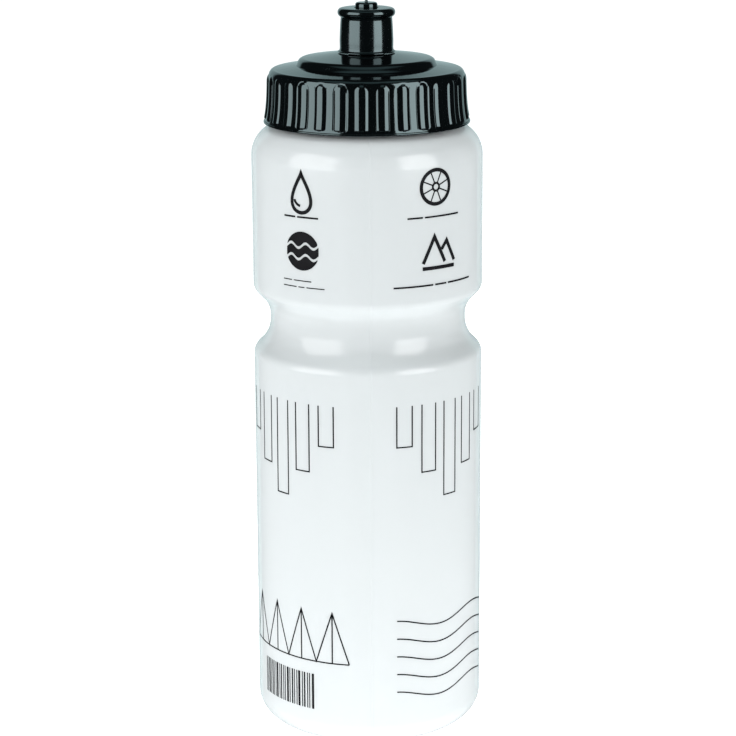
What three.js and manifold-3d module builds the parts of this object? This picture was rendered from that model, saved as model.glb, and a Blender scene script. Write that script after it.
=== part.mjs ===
// Sports water bottle with a push-pull mouthpiece, as four separate mouldings:
// a hollow bottle body, a screw cap, a sliding nozzle and a flat seal ring.
// Millimetres, +Z up, front towards -Y. The origin is the centre of the foot.

import * as THREE from 'three';
import { mergeVertices } from 'three/addons/utils/BufferGeometryUtils.js';
import Module from 'manifold-3d';

const wasm = await Module();
wasm.setup();

// Running gap between pieces that touch or slide on each other.
const GAP = 0.3;

// Bottle body.
const BODY_RADIUS = 36.75;
const BODY_WALL = 1.35;
const FOOT_INNER_RADIUS = 22.5;
const FOOT_OUTER_RADIUS = 27.25;
const FOOT_CORNER_HEIGHT = 8.5;
const PUSH_UP = 4;
const WAIST_RADIUS = 31.34;
const WAIST_FOOT = { z: 123.7, edge: 3.7, hollow: 11.2, slope: 49 };
const WAIST_HEAD = { z: 146.95, edge: 3.5, hollow: 8.65, slope: 44.2 };
const SHOULDER_RADIUS = 10;
const SHOULDER_Z = 188.1;
const BODY_SEGMENTS = 44;

// Neck and its outer thread.
const NECK_RADIUS = 27.5;
const NECK_BORE_RADIUS = 26;
const NECK_RIM_Z = 211.4;
const RIM_CHAMFER = 0.4;

// One thread form serves the neck and the cap. A positive turn, seen from above, lifts the cap.
const THREAD_PITCH = 6;
const THREAD_TURNS = 1.5;
const THREAD_HEIGHT = 1.4;
const THREAD_ROOT_HALF_WIDTH = 1.15;
const THREAD_CREST_HALF_WIDTH = 0.55;
const THREAD_EMBED = 0.5;
const THREAD_FADE_TURNS = 0.08;
const THREAD_STEPS_PER_TURN = 24;
const NECK_THREAD_Z = 200.6;
const CAP_THREAD_DROP = 1.9;
const CAP_THREAD_START_TURN = 1 / 6;

// Screw cap.
const CAP_SEGMENTS = 60;
const LIP_Z = 198.3;
const LIP_BAND = 0.6;
const LIP_RADIUS = 32.75;
const SKIRT_RADIUS = 31.5;
const GRIP_HEIGHT = 0.53;
const LAND_RADIUS = SKIRT_RADIUS - GRIP_HEIGHT;
const SKIRT_FLARE = 1.35;
const SKIRT_FLARE_DECAY = 5;
const SKIRT_BORE_RADIUS = 29.4;
const SKIRT_BORE_CHAMFER = [0.8, 1.3];
const SKIRT_TOP_Z = 212.6;
const CAP_EDGE = { radius: 29.3, height: 2.6 };
const SHOULDER_RISE = 1.1;
const DISC_RADIUS = 22.2;
const DISC_SIDE = [[21.7, 217.55], [21.3, 218.1], [20.3, 218.6]];
const DOME_FOOT_RADIUS = 9;
const DOME_FOOT_Z = 220.1;
const SEAT_Z = 213.4;
const PLUG_RING = { inner: 24.4, outer: 25.5, foot: 209.5 };
const ROOF_WALL = 1.5;
const ROOF_UNDERSIDE = [[20.2, 216.4], [21.4, 214.8], [24.4, 214.3]];

// Ribs around the skirt, each the outer side of an upright round-ended rod that follows its flare.
const GRIP_COUNT = 30;
const GRIP_FIRST_DEGREES = 3;
const GRIP_ROD_RADIUS = 3.8;
const GRIP_ROD_SIDES = 24;
const GRIP_EMBED = 0.7;
const GRIP_FOOT_Z = 200.1;
const GRIP_FOOT_SQUASH = 3;
const GRIP_HEAD_Z = 211.6;

// Stem tube that the nozzle slides on, with the plug pin held inside it by ribs.
const STEM_RADIUS = 5.8;
const STEM_BORE_RADIUS = 4.6;
const STEM_MID_RADIUS = (STEM_RADIUS + STEM_BORE_RADIUS) / 2;
const STEM_TOP_Z = 231;
const STEM_BEAD = { radius: 6.4, foot: 229.2, head: 230.3 };
const PIN_RADIUS = 2.4;
const PIN_HEAD_RADIUS = 3.5;
const PIN_FOOT_Z = 222.5;
const PIN_HEAD_Z = [230.4, 231.9];
const PIN_TOP_Z = 235.85;
const PIN_EDGE = 0.6;
const GATE_NIB = { foot: 0.55, tip: 0.35, top: 237 };
const RIB_COUNT = 3;
const RIB = { thickness: 1.3, inner: 1.2, outer: 5.2, foot: 223.2, head: 226.6 };

// Push-pull nozzle, drawn pushed down.
const NOZZLE_SEGMENTS = 32;
const NOZZLE_FOOT_Z = DOME_FOOT_Z + GAP;
const NOZZLE_LIP_RADIUS = 9.06;
const NOZZLE_SLEEVE = [[8.42, 221.4], [8.47, 224], [8.37, 226.4], [8.26, 228.9], [8.1, 231.2]];
const NOZZLE_FLANGE = { radius: 7.9, z: 232.75, reach: 1.17, height: 1.35 };
const NOZZLE_TOP_Z = 234.2;
const NOZZLE_BORE_RADIUS = STEM_BEAD.radius + GAP;
const NOZZLE_BEAD_RADIUS = STEM_RADIUS + GAP;
const NOZZLE_BEAD_Z = [220.9, 221.8];
const NOZZLE_HOLE_RADIUS = PIN_HEAD_RADIUS + GAP;
const NOZZLE_ROOF_Z = 232.4;

// Flat seal ring between the neck's rim and the cap's roof.
const SEAL = { inner: 25.8, outer: 29.1, edge: 0.25 };
const SEAL_SEGMENTS = 40;

const degrees = THREE.MathUtils.degToRad;

// Points of an elliptical arc in the (radius, height) plane.
function arc(radius, z, reach, height, from, to, steps) {
  const points = [];
  for (let i = 0; i <= steps; i += 1) {
    const angle = degrees(from + ((to - from) * i) / steps);
    points.push([radius + reach * Math.cos(angle), z + height * Math.sin(angle)]);
  }
  return points;
}

// Revolves a (radius, height) outline about +Z. The outline runs up its outer side.
function revolve(outline, segments) {
  const points = outline.map(([radius, z]) => new THREE.Vector2(radius, z));
  return new THREE.LatheGeometry(points, segments).rotateX(Math.PI / 2);
}

// Welds a closed geometry and drops the flat triangles that a revolve leaves on its axis.
function toSolid(geometry) {
  const bare = geometry.clone();
  bare.deleteAttribute('normal');
  bare.deleteAttribute('uv');
  const welded = mergeVertices(bare);
  const index = welded.index.array;
  const triangles = [];
  for (let i = 0; i < index.length; i += 3) {
    const [a, b, c] = [index[i], index[i + 1], index[i + 2]];
    if (a !== b && b !== c && c !== a) triangles.push(a, b, c);
  }
  const vertProperties = Float32Array.from(welded.attributes.position.array);
  const triVerts = Uint32Array.from(triangles);
  return new wasm.Manifold(new wasm.Mesh({ numProp: 3, vertProperties, triVerts }));
}

function fromSolid(solid) {
  const mesh = solid.getMesh();
  const geometry = new THREE.BufferGeometry();
  geometry.setAttribute('position', new THREE.BufferAttribute(mesh.vertProperties, mesh.numProp));
  geometry.setIndex(new THREE.BufferAttribute(mesh.triVerts, 1));
  geometry.computeVertexNormals();
  return geometry;
}

// A helical ridge. Side +1 stands out from its root radius, and side -1 stands inwards.
// A straight bar is extruded along one unit, then wound around +Z with its ends faded out.
function threadRidge(rootRadius, side, startTurn, startZ) {
  const section = new THREE.Shape([
    new THREE.Vector2(-THREAD_EMBED * side, -THREAD_ROOT_HALF_WIDTH),
    new THREE.Vector2(THREAD_HEIGHT * side, -THREAD_CREST_HALF_WIDTH),
    new THREE.Vector2(THREAD_HEIGHT * side, THREAD_CREST_HALF_WIDTH),
    new THREE.Vector2(-THREAD_EMBED * side, THREAD_ROOT_HALF_WIDTH),
  ]);
  const steps = THREAD_TURNS * THREAD_STEPS_PER_TURN;
  const bar = new THREE.ExtrudeGeometry(section, { depth: 1, steps, bevelEnabled: false });
  const position = bar.attributes.position;
  for (let i = 0; i < position.count; i += 1) {
    const turns = (1 - position.getZ(i)) * THREAD_TURNS;
    const fade = Math.min(1, turns / THREAD_FADE_TURNS, (THREAD_TURNS - turns) / THREAD_FADE_TURNS);
    const standing = position.getX(i) * side > 0;
    const radius = rootRadius + position.getX(i) * (standing ? fade : 1);
    const angle = 2 * Math.PI * (startTurn + turns);
    const z = startZ + position.getY(i) + THREAD_PITCH * turns;
    position.setXYZ(i, radius * Math.cos(angle), radius * Math.sin(angle), z);
  }
  return toSolid(bar);
}

// One side of the waist: a round edge off the wall, a slope, and a round hollow onto the waist.
// Direction +1 climbs from the wall below the waist, and -1 drops from the wall above it.
function waistSide(end, direction, inset, steps) {
  const slope = degrees(end.slope);
  const rounds = end.edge + end.hollow;
  const straight = (BODY_RADIUS - WAIST_RADIUS - rounds * (1 - Math.cos(slope))) / Math.sin(slope);
  const height = rounds * Math.sin(slope) + straight * Math.cos(slope);
  const edge = end.edge - inset;
  const hollow = end.hollow + inset;
  return [
    ...arc(BODY_RADIUS - end.edge, end.z, edge, direction * edge, 0, end.slope, steps),
    ...arc(
      WAIST_RADIUS + end.hollow, end.z + direction * height,
      -hollow, -direction * hollow, end.slope, 0, steps,
    ),
  ];
}

// The body's wall from foot corner to shoulder, set in from the outside by inset.
function bodySide(inset, steps) {
  return [
    ...arc(
      FOOT_OUTER_RADIUS, FOOT_CORNER_HEIGHT,
      BODY_RADIUS - FOOT_OUTER_RADIUS - inset, FOOT_CORNER_HEIGHT - inset, -90, 0, steps,
    ),
    ...waistSide(WAIST_FOOT, 1, inset, steps - 2),
    ...waistSide(WAIST_HEAD, -1, inset, steps - 2).reverse(),
    ...arc(
      BODY_RADIUS - SHOULDER_RADIUS, SHOULDER_Z,
      SHOULDER_RADIUS - inset, SHOULDER_RADIUS - inset, 0, 80, steps,
    ),
  ];
}

// The domed underside inside the foot ring, raised by the wall on its inner face.
function pushUp(raise) {
  const steps = 3;
  const points = [];
  for (let i = 0; i <= steps; i += 1) {
    const t = i / steps;
    points.push([FOOT_INNER_RADIUS * t, raise + PUSH_UP * (1 - t * t)]);
  }
  return points;
}

function bottleBody() {
  const outside = [
    ...pushUp(0),
    ...bodySide(0, 5),
    [NECK_RADIUS, SHOULDER_Z + SHOULDER_RADIUS + GAP],
    [NECK_RADIUS, NECK_RIM_Z - RIM_CHAMFER],
    [NECK_RADIUS - RIM_CHAMFER, NECK_RIM_Z],
    [NECK_BORE_RADIUS + RIM_CHAMFER, NECK_RIM_Z],
  ];
  const inside = [
    ...pushUp(BODY_WALL),
    ...bodySide(BODY_WALL, 3),
    [NECK_BORE_RADIUS, SHOULDER_Z + SHOULDER_RADIUS],
    [NECK_BORE_RADIUS, NECK_RIM_Z - RIM_CHAMFER],
  ];
  const shell = toSolid(revolve([...outside, ...inside.reverse()], BODY_SEGMENTS));
  return fromSolid(shell.add(threadRidge(NECK_RADIUS, 1, 0, NECK_THREAD_Z)));
}

// How far the skirt stands out beyond its plain radius at a height.
function skirtFlare(z) {
  return SKIRT_FLARE * Math.exp((LIP_Z + LIP_BAND - z) / SKIRT_FLARE_DECAY);
}

function skirtOutside() {
  const steps = 4;
  const points = [
    [LIP_RADIUS - 0.35, LIP_Z],
    [LIP_RADIUS, LIP_Z + 0.3],
    [LIP_RADIUS, LIP_Z + LIP_BAND - 0.1],
  ];
  for (let i = 0; i <= steps; i += 1) {
    const t = i / steps;
    const z = THREE.MathUtils.lerp(LIP_Z + LIP_BAND, SKIRT_TOP_Z, t ** 1.3);
    points.push([LAND_RADIUS + skirtFlare(z), z]);
  }
  return points;
}

function capShell() {
  const edgeReach = LAND_RADIUS + skirtFlare(SKIRT_TOP_Z) - CAP_EDGE.radius;
  const edgeTop = SKIRT_TOP_Z + CAP_EDGE.height;
  const outside = [
    ...skirtOutside(),
    ...arc(CAP_EDGE.radius, SKIRT_TOP_Z, edgeReach, CAP_EDGE.height, 18, 90, 4),
    [DISC_RADIUS, edgeTop + SHOULDER_RISE],
    ...DISC_SIDE,
    [DOME_FOOT_RADIUS, DOME_FOOT_Z],
    [STEM_MID_RADIUS, DOME_FOOT_Z],
  ];
  const inside = [
    [STEM_MID_RADIUS, DOME_FOOT_Z - ROOF_WALL],
    ...ROOF_UNDERSIDE,
    [PLUG_RING.inner, PLUG_RING.foot],
    [PLUG_RING.outer, PLUG_RING.foot],
    [PLUG_RING.outer, SEAT_Z],
    [SKIRT_BORE_RADIUS, SEAT_Z],
    [SKIRT_BORE_RADIUS, LIP_Z + SKIRT_BORE_CHAMFER[1]],
    [SKIRT_BORE_RADIUS + SKIRT_BORE_CHAMFER[0], LIP_Z],
  ];
  const outline = [...outside, ...inside];
  outline.push(outline[0]);
  return toSolid(revolve(outline, CAP_SEGMENTS));
}

function stemTube() {
  const outline = [
    [STEM_RADIUS, DOME_FOOT_Z - ROOF_WALL],
    [STEM_RADIUS, STEM_BEAD.foot],
    [STEM_BEAD.radius, STEM_BEAD.foot + 0.4],
    [STEM_BEAD.radius, STEM_BEAD.head],
    [STEM_RADIUS, STEM_TOP_Z],
    [STEM_BORE_RADIUS, STEM_TOP_Z],
    [STEM_BORE_RADIUS, DOME_FOOT_Z - ROOF_WALL],
    [STEM_RADIUS, DOME_FOOT_Z - ROOF_WALL],
  ];
  return toSolid(revolve(outline, NOZZLE_SEGMENTS));
}

// A round-ended rod in the skirt's wall, bent outwards by the skirt's flare, with a blunt foot.
function gripRod(azimuth) {
  const length = GRIP_HEAD_Z - GRIP_FOOT_Z;
  const rod = new THREE.CapsuleGeometry(GRIP_ROD_RADIUS, length, 4, GRIP_ROD_SIDES, 3);
  rod.rotateX(Math.PI / 2);
  rod.translate(0, 0, (GRIP_FOOT_Z + GRIP_HEAD_Z) / 2);
  const position = rod.attributes.position;
  const distance = SKIRT_RADIUS - GRIP_ROD_RADIUS;
  for (let i = 0; i < position.count; i += 1) {
    const height = Math.max(position.getZ(i), GRIP_FOOT_Z);
    const below = Math.max(GRIP_FOOT_Z - position.getZ(i), 0);
    position.setY(i, position.getY(i) - distance - skirtFlare(height));
    position.setZ(i, height - below / GRIP_FOOT_SQUASH);
  }
  rod.rotateZ(azimuth);
  return toSolid(rod);
}

// The space around the skirt's wall that the ribs may fill.
function gripSpace() {
  const inner = LAND_RADIUS - GRIP_EMBED;
  const outer = SKIRT_RADIUS + 2 * SKIRT_FLARE;
  const top = SKIRT_TOP_Z + CAP_EDGE.height;
  const outline = [[inner, LIP_Z], [outer, LIP_Z], [outer, top], [inner, top], [inner, LIP_Z]];
  return toSolid(revolve(outline, CAP_SEGMENTS));
}

function plugPin() {
  const outline = [
    [0, PIN_FOOT_Z],
    [PIN_RADIUS - PIN_EDGE, PIN_FOOT_Z],
    [PIN_RADIUS, PIN_FOOT_Z + PIN_EDGE],
    [PIN_RADIUS, PIN_HEAD_Z[0]],
    [PIN_HEAD_RADIUS, PIN_HEAD_Z[1]],
    ...arc(PIN_HEAD_RADIUS - PIN_EDGE, PIN_TOP_Z - PIN_EDGE, PIN_EDGE, PIN_EDGE, 0, 90, 3),
    [GATE_NIB.foot, PIN_TOP_Z],
    [GATE_NIB.tip, GATE_NIB.top],
    [0, GATE_NIB.top],
  ];
  return toSolid(revolve(outline, NOZZLE_SEGMENTS));
}

function stemRib(index) {
  const rib = new THREE.BoxGeometry(RIB.thickness, RIB.outer - RIB.inner, RIB.head - RIB.foot);
  rib.translate(0, (RIB.inner + RIB.outer) / 2, (RIB.foot + RIB.head) / 2);
  rib.rotateZ((2 * Math.PI * index) / RIB_COUNT);
  return toSolid(rib);
}

function screwCap() {
  let cap = capShell().add(stemTube()).add(plugPin());
  for (let i = 0; i < RIB_COUNT; i += 1) {
    cap = cap.add(stemRib(i));
  }
  const space = gripSpace();
  for (let i = 0; i < GRIP_COUNT; i += 1) {
    const rod = gripRod(degrees(GRIP_FIRST_DEGREES) + (2 * Math.PI * i) / GRIP_COUNT);
    cap = cap.add(rod.intersect(space));
  }
  const startZ = NECK_THREAD_Z - CAP_THREAD_DROP + THREAD_PITCH * CAP_THREAD_START_TURN;
  return fromSolid(cap.add(threadRidge(SKIRT_BORE_RADIUS, -1, CAP_THREAD_START_TURN, startZ)));
}

function nozzle() {
  const flange = NOZZLE_FLANGE;
  const lipTop = NOZZLE_SLEEVE[0][1];
  const outline = [
    [NOZZLE_BEAD_RADIUS + GAP, NOZZLE_FOOT_Z],
    [NOZZLE_LIP_RADIUS - 0.3, NOZZLE_FOOT_Z],
    [NOZZLE_LIP_RADIUS, NOZZLE_FOOT_Z + 0.2],
    [NOZZLE_LIP_RADIUS, lipTop - 0.8],
    [NOZZLE_LIP_RADIUS - 0.4, lipTop - 0.5],
    ...NOZZLE_SLEEVE,
    ...arc(flange.radius, flange.z, flange.reach, flange.height, -75, 75, 6),
    [flange.radius, NOZZLE_TOP_Z],
    [NOZZLE_HOLE_RADIUS + GAP, NOZZLE_TOP_Z],
    [NOZZLE_HOLE_RADIUS, NOZZLE_TOP_Z - GAP],
    [NOZZLE_HOLE_RADIUS, NOZZLE_ROOF_Z],
    [NOZZLE_BORE_RADIUS - 0.4, NOZZLE_ROOF_Z],
    [NOZZLE_BORE_RADIUS, NOZZLE_ROOF_Z - 0.4],
    [NOZZLE_BORE_RADIUS, NOZZLE_BEAD_Z[1] + 0.4],
    [NOZZLE_BEAD_RADIUS, NOZZLE_BEAD_Z[1]],
    [NOZZLE_BEAD_RADIUS, NOZZLE_BEAD_Z[0]],
    [NOZZLE_BEAD_RADIUS + GAP, NOZZLE_FOOT_Z],
  ];
  return revolve(outline, NOZZLE_SEGMENTS);
}

function capSeal() {
  const foot = NECK_RIM_Z + GAP;
  const head = SEAT_Z - GAP;
  const outline = [
    [SEAL.inner, foot],
    [SEAL.outer - SEAL.edge, foot],
    [SEAL.outer, foot + SEAL.edge],
    [SEAL.outer, head - SEAL.edge],
    [SEAL.outer - SEAL.edge, head],
    [SEAL.inner, head],
    [SEAL.inner, foot],
  ];
  return revolve(outline, SEAL_SEGMENTS);
}

const milkyPlastic = () => new THREE.MeshStandardMaterial({ color: 0xe9eff0, roughness: 0.3, metalness: 0 });
const blackPlastic = () => new THREE.MeshStandardMaterial({ color: 0x0b0d0f, roughness: 0.18, metalness: 0 });
const sealFoam = () => new THREE.MeshStandardMaterial({ color: 0xd8d9d4, roughness: 0.8, metalness: 0 });

function piece(name, geometry, material) {
  const mesh = new THREE.Mesh(geometry, material);
  mesh.name = name;
  return mesh;
}

const bottle = new THREE.Group();
bottle.add(piece('bottle_body', bottleBody(), milkyPlastic()));
bottle.add(piece('screw_cap', screwCap(), blackPlastic()));
bottle.add(piece('nozzle', nozzle(), blackPlastic()));
bottle.add(piece('cap_seal', capSeal(), sealFoam()));

export default bottle;
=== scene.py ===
"""Looks of a squeeze bottle with a screw cap and a push-pull nozzle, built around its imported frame.

Outlines are (radius, height) in millimetres, +Z up, front towards -Y. Azimuths are degrees from
the front towards +X. Every piece rides on the body of the CAD node that it stands for.
"""

import math

import bpy
import numpy as np
from mathutils import Matrix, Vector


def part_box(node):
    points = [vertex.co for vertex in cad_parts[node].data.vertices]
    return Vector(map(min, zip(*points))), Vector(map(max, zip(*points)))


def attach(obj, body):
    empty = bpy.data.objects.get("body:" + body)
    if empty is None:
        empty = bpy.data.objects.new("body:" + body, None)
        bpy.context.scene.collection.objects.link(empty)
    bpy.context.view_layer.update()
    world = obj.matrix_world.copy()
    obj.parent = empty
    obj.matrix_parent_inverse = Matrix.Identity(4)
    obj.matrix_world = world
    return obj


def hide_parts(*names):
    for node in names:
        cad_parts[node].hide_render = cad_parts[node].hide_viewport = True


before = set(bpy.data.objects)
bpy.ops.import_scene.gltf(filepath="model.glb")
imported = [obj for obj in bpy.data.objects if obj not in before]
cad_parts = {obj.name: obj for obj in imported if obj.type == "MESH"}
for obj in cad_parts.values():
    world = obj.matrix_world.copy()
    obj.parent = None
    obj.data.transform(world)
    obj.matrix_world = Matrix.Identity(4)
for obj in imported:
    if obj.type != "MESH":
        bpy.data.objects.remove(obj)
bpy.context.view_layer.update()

MM = 0.001
SHARP_ANGLE = 40


def in_mm(metres):
    """A length from the frame, in millimetres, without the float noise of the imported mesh."""
    return round(metres / MM, 3)


_, BODY_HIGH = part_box("bottle_body")
CAP_LOW, CAP_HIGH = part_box("screw_cap")
NOZZLE_LOW, NOZZLE_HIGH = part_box("nozzle")

# Bottle body.
BODY_RADIUS = in_mm(BODY_HIGH.x)
NECK_RIM_Z = in_mm(BODY_HIGH.z)
BODY_WALL = 1.35
FOOT_INNER_RADIUS = 22.5
FOOT_OUTER_RADIUS = 27.25
FOOT_CORNER_HEIGHT = 8.5
PUSH_UP = 4
WAIST_RADIUS = 31.34
WAIST_FOOT = {"z": 123.7, "edge": 3.7, "hollow": 11.2, "slope": 49}
WAIST_HEAD = {"z": 146.95, "edge": 3.5, "hollow": 8.65, "slope": 44.2}
SHOULDER_RADIUS = 10
SHOULDER_Z = 188.1
NECK_RADIUS = 27.5
NECK_BORE_RADIUS = 26
NECK_FOOT_Z = 198.4
RIM_ROUND = 0.45
BODY_COLUMNS = 192
BODY_ARC_STEPS = 24
WALL_STEP = 4.0

# Blow-moulding marks on the body: a slow waviness and the parting line of the two mould halves.
# Each wave is its lobes round the wall, its rise in millimetres per radian, its start and its share.
MARKS_FADE = 4
WAVE_HEIGHT = 0.05
WAVES = ((3, 19, 0, 1.0), (5, -13, 1, 0.7), (2, 7, 0, 0.5))
PARTING_AZIMUTH = 1.4
PARTING_HEIGHT = 0.09
PARTING_HALF_WIDTH = 0.28
PARTING_OFFSETS = (-1.1, -0.8, -0.55, -0.35, -0.18, 0, 0.18, 0.35, 0.55, 0.8, 1.1)

# Thread form shared by the neck and the cap.
THREAD_PITCH = 6
THREAD_TURNS = 1.5
THREAD_HEIGHT = 1.4
THREAD_FOOT_HALF_WIDTH = 0.99
THREAD_CREST_HALF_WIDTH = 0.55
THREAD_FADE_TURNS = 0.08
THREAD_ROW_STEP = 0.16
NECK_THREAD_Z = 200.6
CAP_THREAD_TURN = 1 / 6
CAP_THREAD_DROP = 1.9
CAP_THREAD_Z = NECK_THREAD_Z - CAP_THREAD_DROP + THREAD_PITCH * CAP_THREAD_TURN

# Screw cap.
LIP_Z = in_mm(CAP_LOW.z)
LIP_BAND = 0.6
LIP_RADIUS = 32.75
SKIRT_RADIUS = 31.5
SKIRT_FLARE = 1.35
SKIRT_FLARE_DECAY = 5
GRIP_HEIGHT = 0.53
LAND_RADIUS = SKIRT_RADIUS - GRIP_HEIGHT
SKIRT_BORE_RADIUS = 29.4
SKIRT_TOP_Z = 212.6
CAP_EDGE_RADIUS = 29.3
CAP_EDGE_HEIGHT = 2.6
SHOULDER_RISE = 1.1
DISC_RADIUS = 22.2
DISC_SIDE = ((21.98, 216.9, 0.3), (21.7, 217.45, 0.3), (21.3, 218.1, 0.3), (20.5, 218.6, 0.5))
DOME_FOOT_RADIUS = 9
DOME_FOOT_Z = 220.1
SEAT_Z = 213.4
PLUG_RING = (24.4, 25.5)
PLUG_RING_Z = 209.5
PLUG_RING_HEAD_Z = 214.3
ROOF_WALL = 1.5
ROOF_CORNERS = ((20.2, 216.4, 1.0), (21.4, 214.8, 0.6))
LIP_CHAMFER = (0.8, 1.3)

# Ribs round the skirt, each the outer side of an upright rod.
GRIP_COUNT = 30
GRIP_FIRST_AZIMUTH = -3
GRIP_ROD_RADIUS = 3.8
GRIP_FOOT_Z = 200.1
GRIP_FOOT_SQUASH = 3.0
GRIP_HEAD_Z = 211.6
GRIP_FOOT_FILLET = 0.012
GRIP_SEAM_DEPTH = 0.07
GRIP_SEAM_REACH = 0.14
GRIP_COLUMNS = (0, 1.1, 2.1, 2.9, 3.4, 3.58, 3.68, 3.78, 3.9, 4.2, 5.0)
CAP_INSIDE_COLUMNS = 150
CAP_INSIDE_STEP = 0.3

# Stem tube, plug pin and the ribs between them.
STEM_RADIUS = 5.8
STEM_BORE_RADIUS = 4.6
STEM_TOP_Z = 231
STEM_BEAD_RADIUS = 6.4
STEM_BEAD_Z = (229.2, 230.3)
STEM_COLUMNS = 96
PIN_RADIUS = 2.4
PIN_HEAD_RADIUS = 3.5
PIN_FOOT_Z = 222.5
PIN_HEAD_Z = (230.4, 231.9)
PIN_TOP_Z = 235.85
PIN_EDGE = 0.75
NIB_RADII = (0.55, 0.35)
NIB_TOP_Z = in_mm(CAP_HIGH.z)
RIB_COUNT = 3
RIB_THICKNESS = 1.3
RIB_REACH = (1.2, 5.2)
RIB_Z = (223.2, 226.6)
RIB_CHAMFER = 0.2
RIB_END_SHARE = 0.7

# Nozzle.
NOZZLE_FOOT_Z = in_mm(NOZZLE_LOW.z)
NOZZLE_TOP_Z = in_mm(NOZZLE_HIGH.z)
NOZZLE_LIP_RADIUS = 9.06
NOZZLE_SLEEVE = ((8.42, 221.4), (8.47, 224), (8.37, 226.4), (8.26, 228.9), (8.1, 231.2))
FLANGE_RADIUS = 7.9
FLANGE_Z = 232.75
FLANGE_REACH = 1.17
FLANGE_HEIGHT = 1.35
NOZZLE_BORE_RADIUS = 6.7
NOZZLE_BEAD_RADIUS = 6.1
NOZZLE_BEAD_Z = (220.9, 221.8)
NOZZLE_HOLE_RADIUS = 3.8
NOZZLE_ROOF_Z = 232.4
NOZZLE_COLUMNS = 128
SLEEVE_STEP = 0.9

# Print on the body: thin solids of ink set into the wall's skin.
INK_PROUD = 0.045
INK_SUNK = 0.12
INK_STEP = 1.3
INK_LAYER = 0.004
FINE_LINE = 0.42
BROAD_LINE = 1.15
CAPTION_LINE = 0.55
SMALL_CAPTION_LINE = CAPTION_LINE * 0.6
DASH_GAP = 0.75
LEAST_INK_HEIGHT = 0.12
BAR_WIDTHS = (0.35, 0.35, 0.8, 0.35, 0.55)
BAR_GAPS = (0.45, 0.7)

# Camera and light, in metres and degrees. A softbox is its side, azimuth, width and radiance.
CAMERA_PLACE = (0, -0.7762, 0.3118)
CAMERA_TILT = 75.96
CAMERA_ROLL = -0.261
CAMERA_LENS = 120.5
SENSOR = 36
SOFTBOXES = (("left", -55, 0.66, 2.15), ("right", 51, 0.48, 2.7))
SOFTBOX_DISTANCE = 0.7
SOFTBOX_Z = 0.415
SOFTBOX_HEIGHT = 0.65
FILLS = (("left_fill", -104), ("right_fill", 104))
FILL_DISTANCE = 0.8
FILL_Z = 0.2
FILL_SIZE = (0.5, 0.5)
FILL_RADIANCE = 3.0
TOP_DISTANCE = 0.1
TOP_Z = 0.9
TOP_SIZE = (0.6, 0.6)
TOP_RADIANCE = 3.2
FLOOR_REACH = 40
FLOOR_COLOUR = (0.85, 0.85, 0.85)
FLOOR_ROUGHNESS = 0.9
FLOOR_GLOW = 1.0
FLOOR_CAST = (1.8, 0.2)
FLOOR_POOL = (0.2, 0.4)
WORLD_TINT = (0.73, 0.98, 1.0)
WORLD_REST = 0.018
BACK_WALL = 0.58
BACK_WALL_SIDES = (0.74, 0.84)
BACK_WALL_TOP = (0.3, 0.6)
OVERHEAD = 0.24
OVERHEAD_FOOT = (0.7, 0.8)
OVERHEAD_HEAD = (0.94, 0.985)
OVERHEAD_FRONT = (-0.1, 0.1)

# Materials. A noise is its scale, detail and stretch, and a bump is its depth in metres and strength.
NOISE_SPAN = (0.3, 0.7)
MILKY_LOW = (0.53, 0.56, 0.568)
MILKY_HIGH = (0.543, 0.572, 0.58)
MILKY_ROUGHNESS = (0.13, 0.17)
MILKY_IOR = 1.7
MILKY_SUBSURFACE_WEIGHT = 0.35
MILKY_SUBSURFACE_SCALE = 0.004
MILKY_CLOUD = (22, 3, (1, 1, 0.5))
MILKY_HAZE = (40, 2, (1, 1, 0.4))
MILKY_FLOW = (30, 1, (1, 1, 0.3))
MILKY_FLOW_BUMP = (0.0003, 0.12)
MILKY_PEEL = (700, 2)
MILKY_PEEL_BUMP = (0.00001, 0.3)
BLACK_LOW = (0.0006, 0.0008, 0.001)
BLACK_HIGH = (0.0014, 0.0016, 0.0019)
BLACK_TINT = (0.74, 0.97, 1.0)
BLACK_IOR = 2.0
BLACK_TONE = (60, 3)
BLACK_HAZE = (140, 4)
BLACK_RIPPLE = (160, 2)
BLACK_RIPPLE_BUMP = (0.00004, 0.5)
BLACK_GRAIN = (2600, 2)
BLACK_GRAIN_BUMP = (0.000004, 0.5)
CAP_ROUGHNESS = (0.04, 0.08)
NOZZLE_ROUGHNESS = (0.09, 0.17)
FOAM_LOW = (0.60, 0.60, 0.57)
FOAM_HIGH = (0.76, 0.76, 0.72)
FOAM_ROUGHNESS = (0.75, 0.95)
FOAM_CELLS = (1800, 3)
FOAM_BUMP = (0.0002, 0.8)
INK_LOW = (0.003, 0.003, 0.004)
INK_HIGH = (0.009, 0.009, 0.011)
INK_ROUGHNESS = (0.4, 0.6)
INK_SPECULAR = 0.15
INK_GRAIN = (1500, 3)
INK_COVER = (300, 4)
INK_BUMP = (0.00001, 0.5)


# ---------------------------------------------------------------- outlines

def arc(radius, z, reach, height, start, stop, steps):
    """Points of an elliptical arc about (radius, z), from start to stop degrees."""
    angles = [math.radians(start + (stop - start) * i / steps) for i in range(steps + 1)]
    return [(radius + reach * math.cos(a), z + height * math.sin(a)) for a in angles]


def line(first, last, step):
    """Points from first to last, at most step apart."""
    steps = max(1, math.ceil(math.dist(first, last) / step))
    return [tuple(np.array(first) + (np.array(last) - first) * i / steps) for i in range(steps + 1)]


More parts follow.
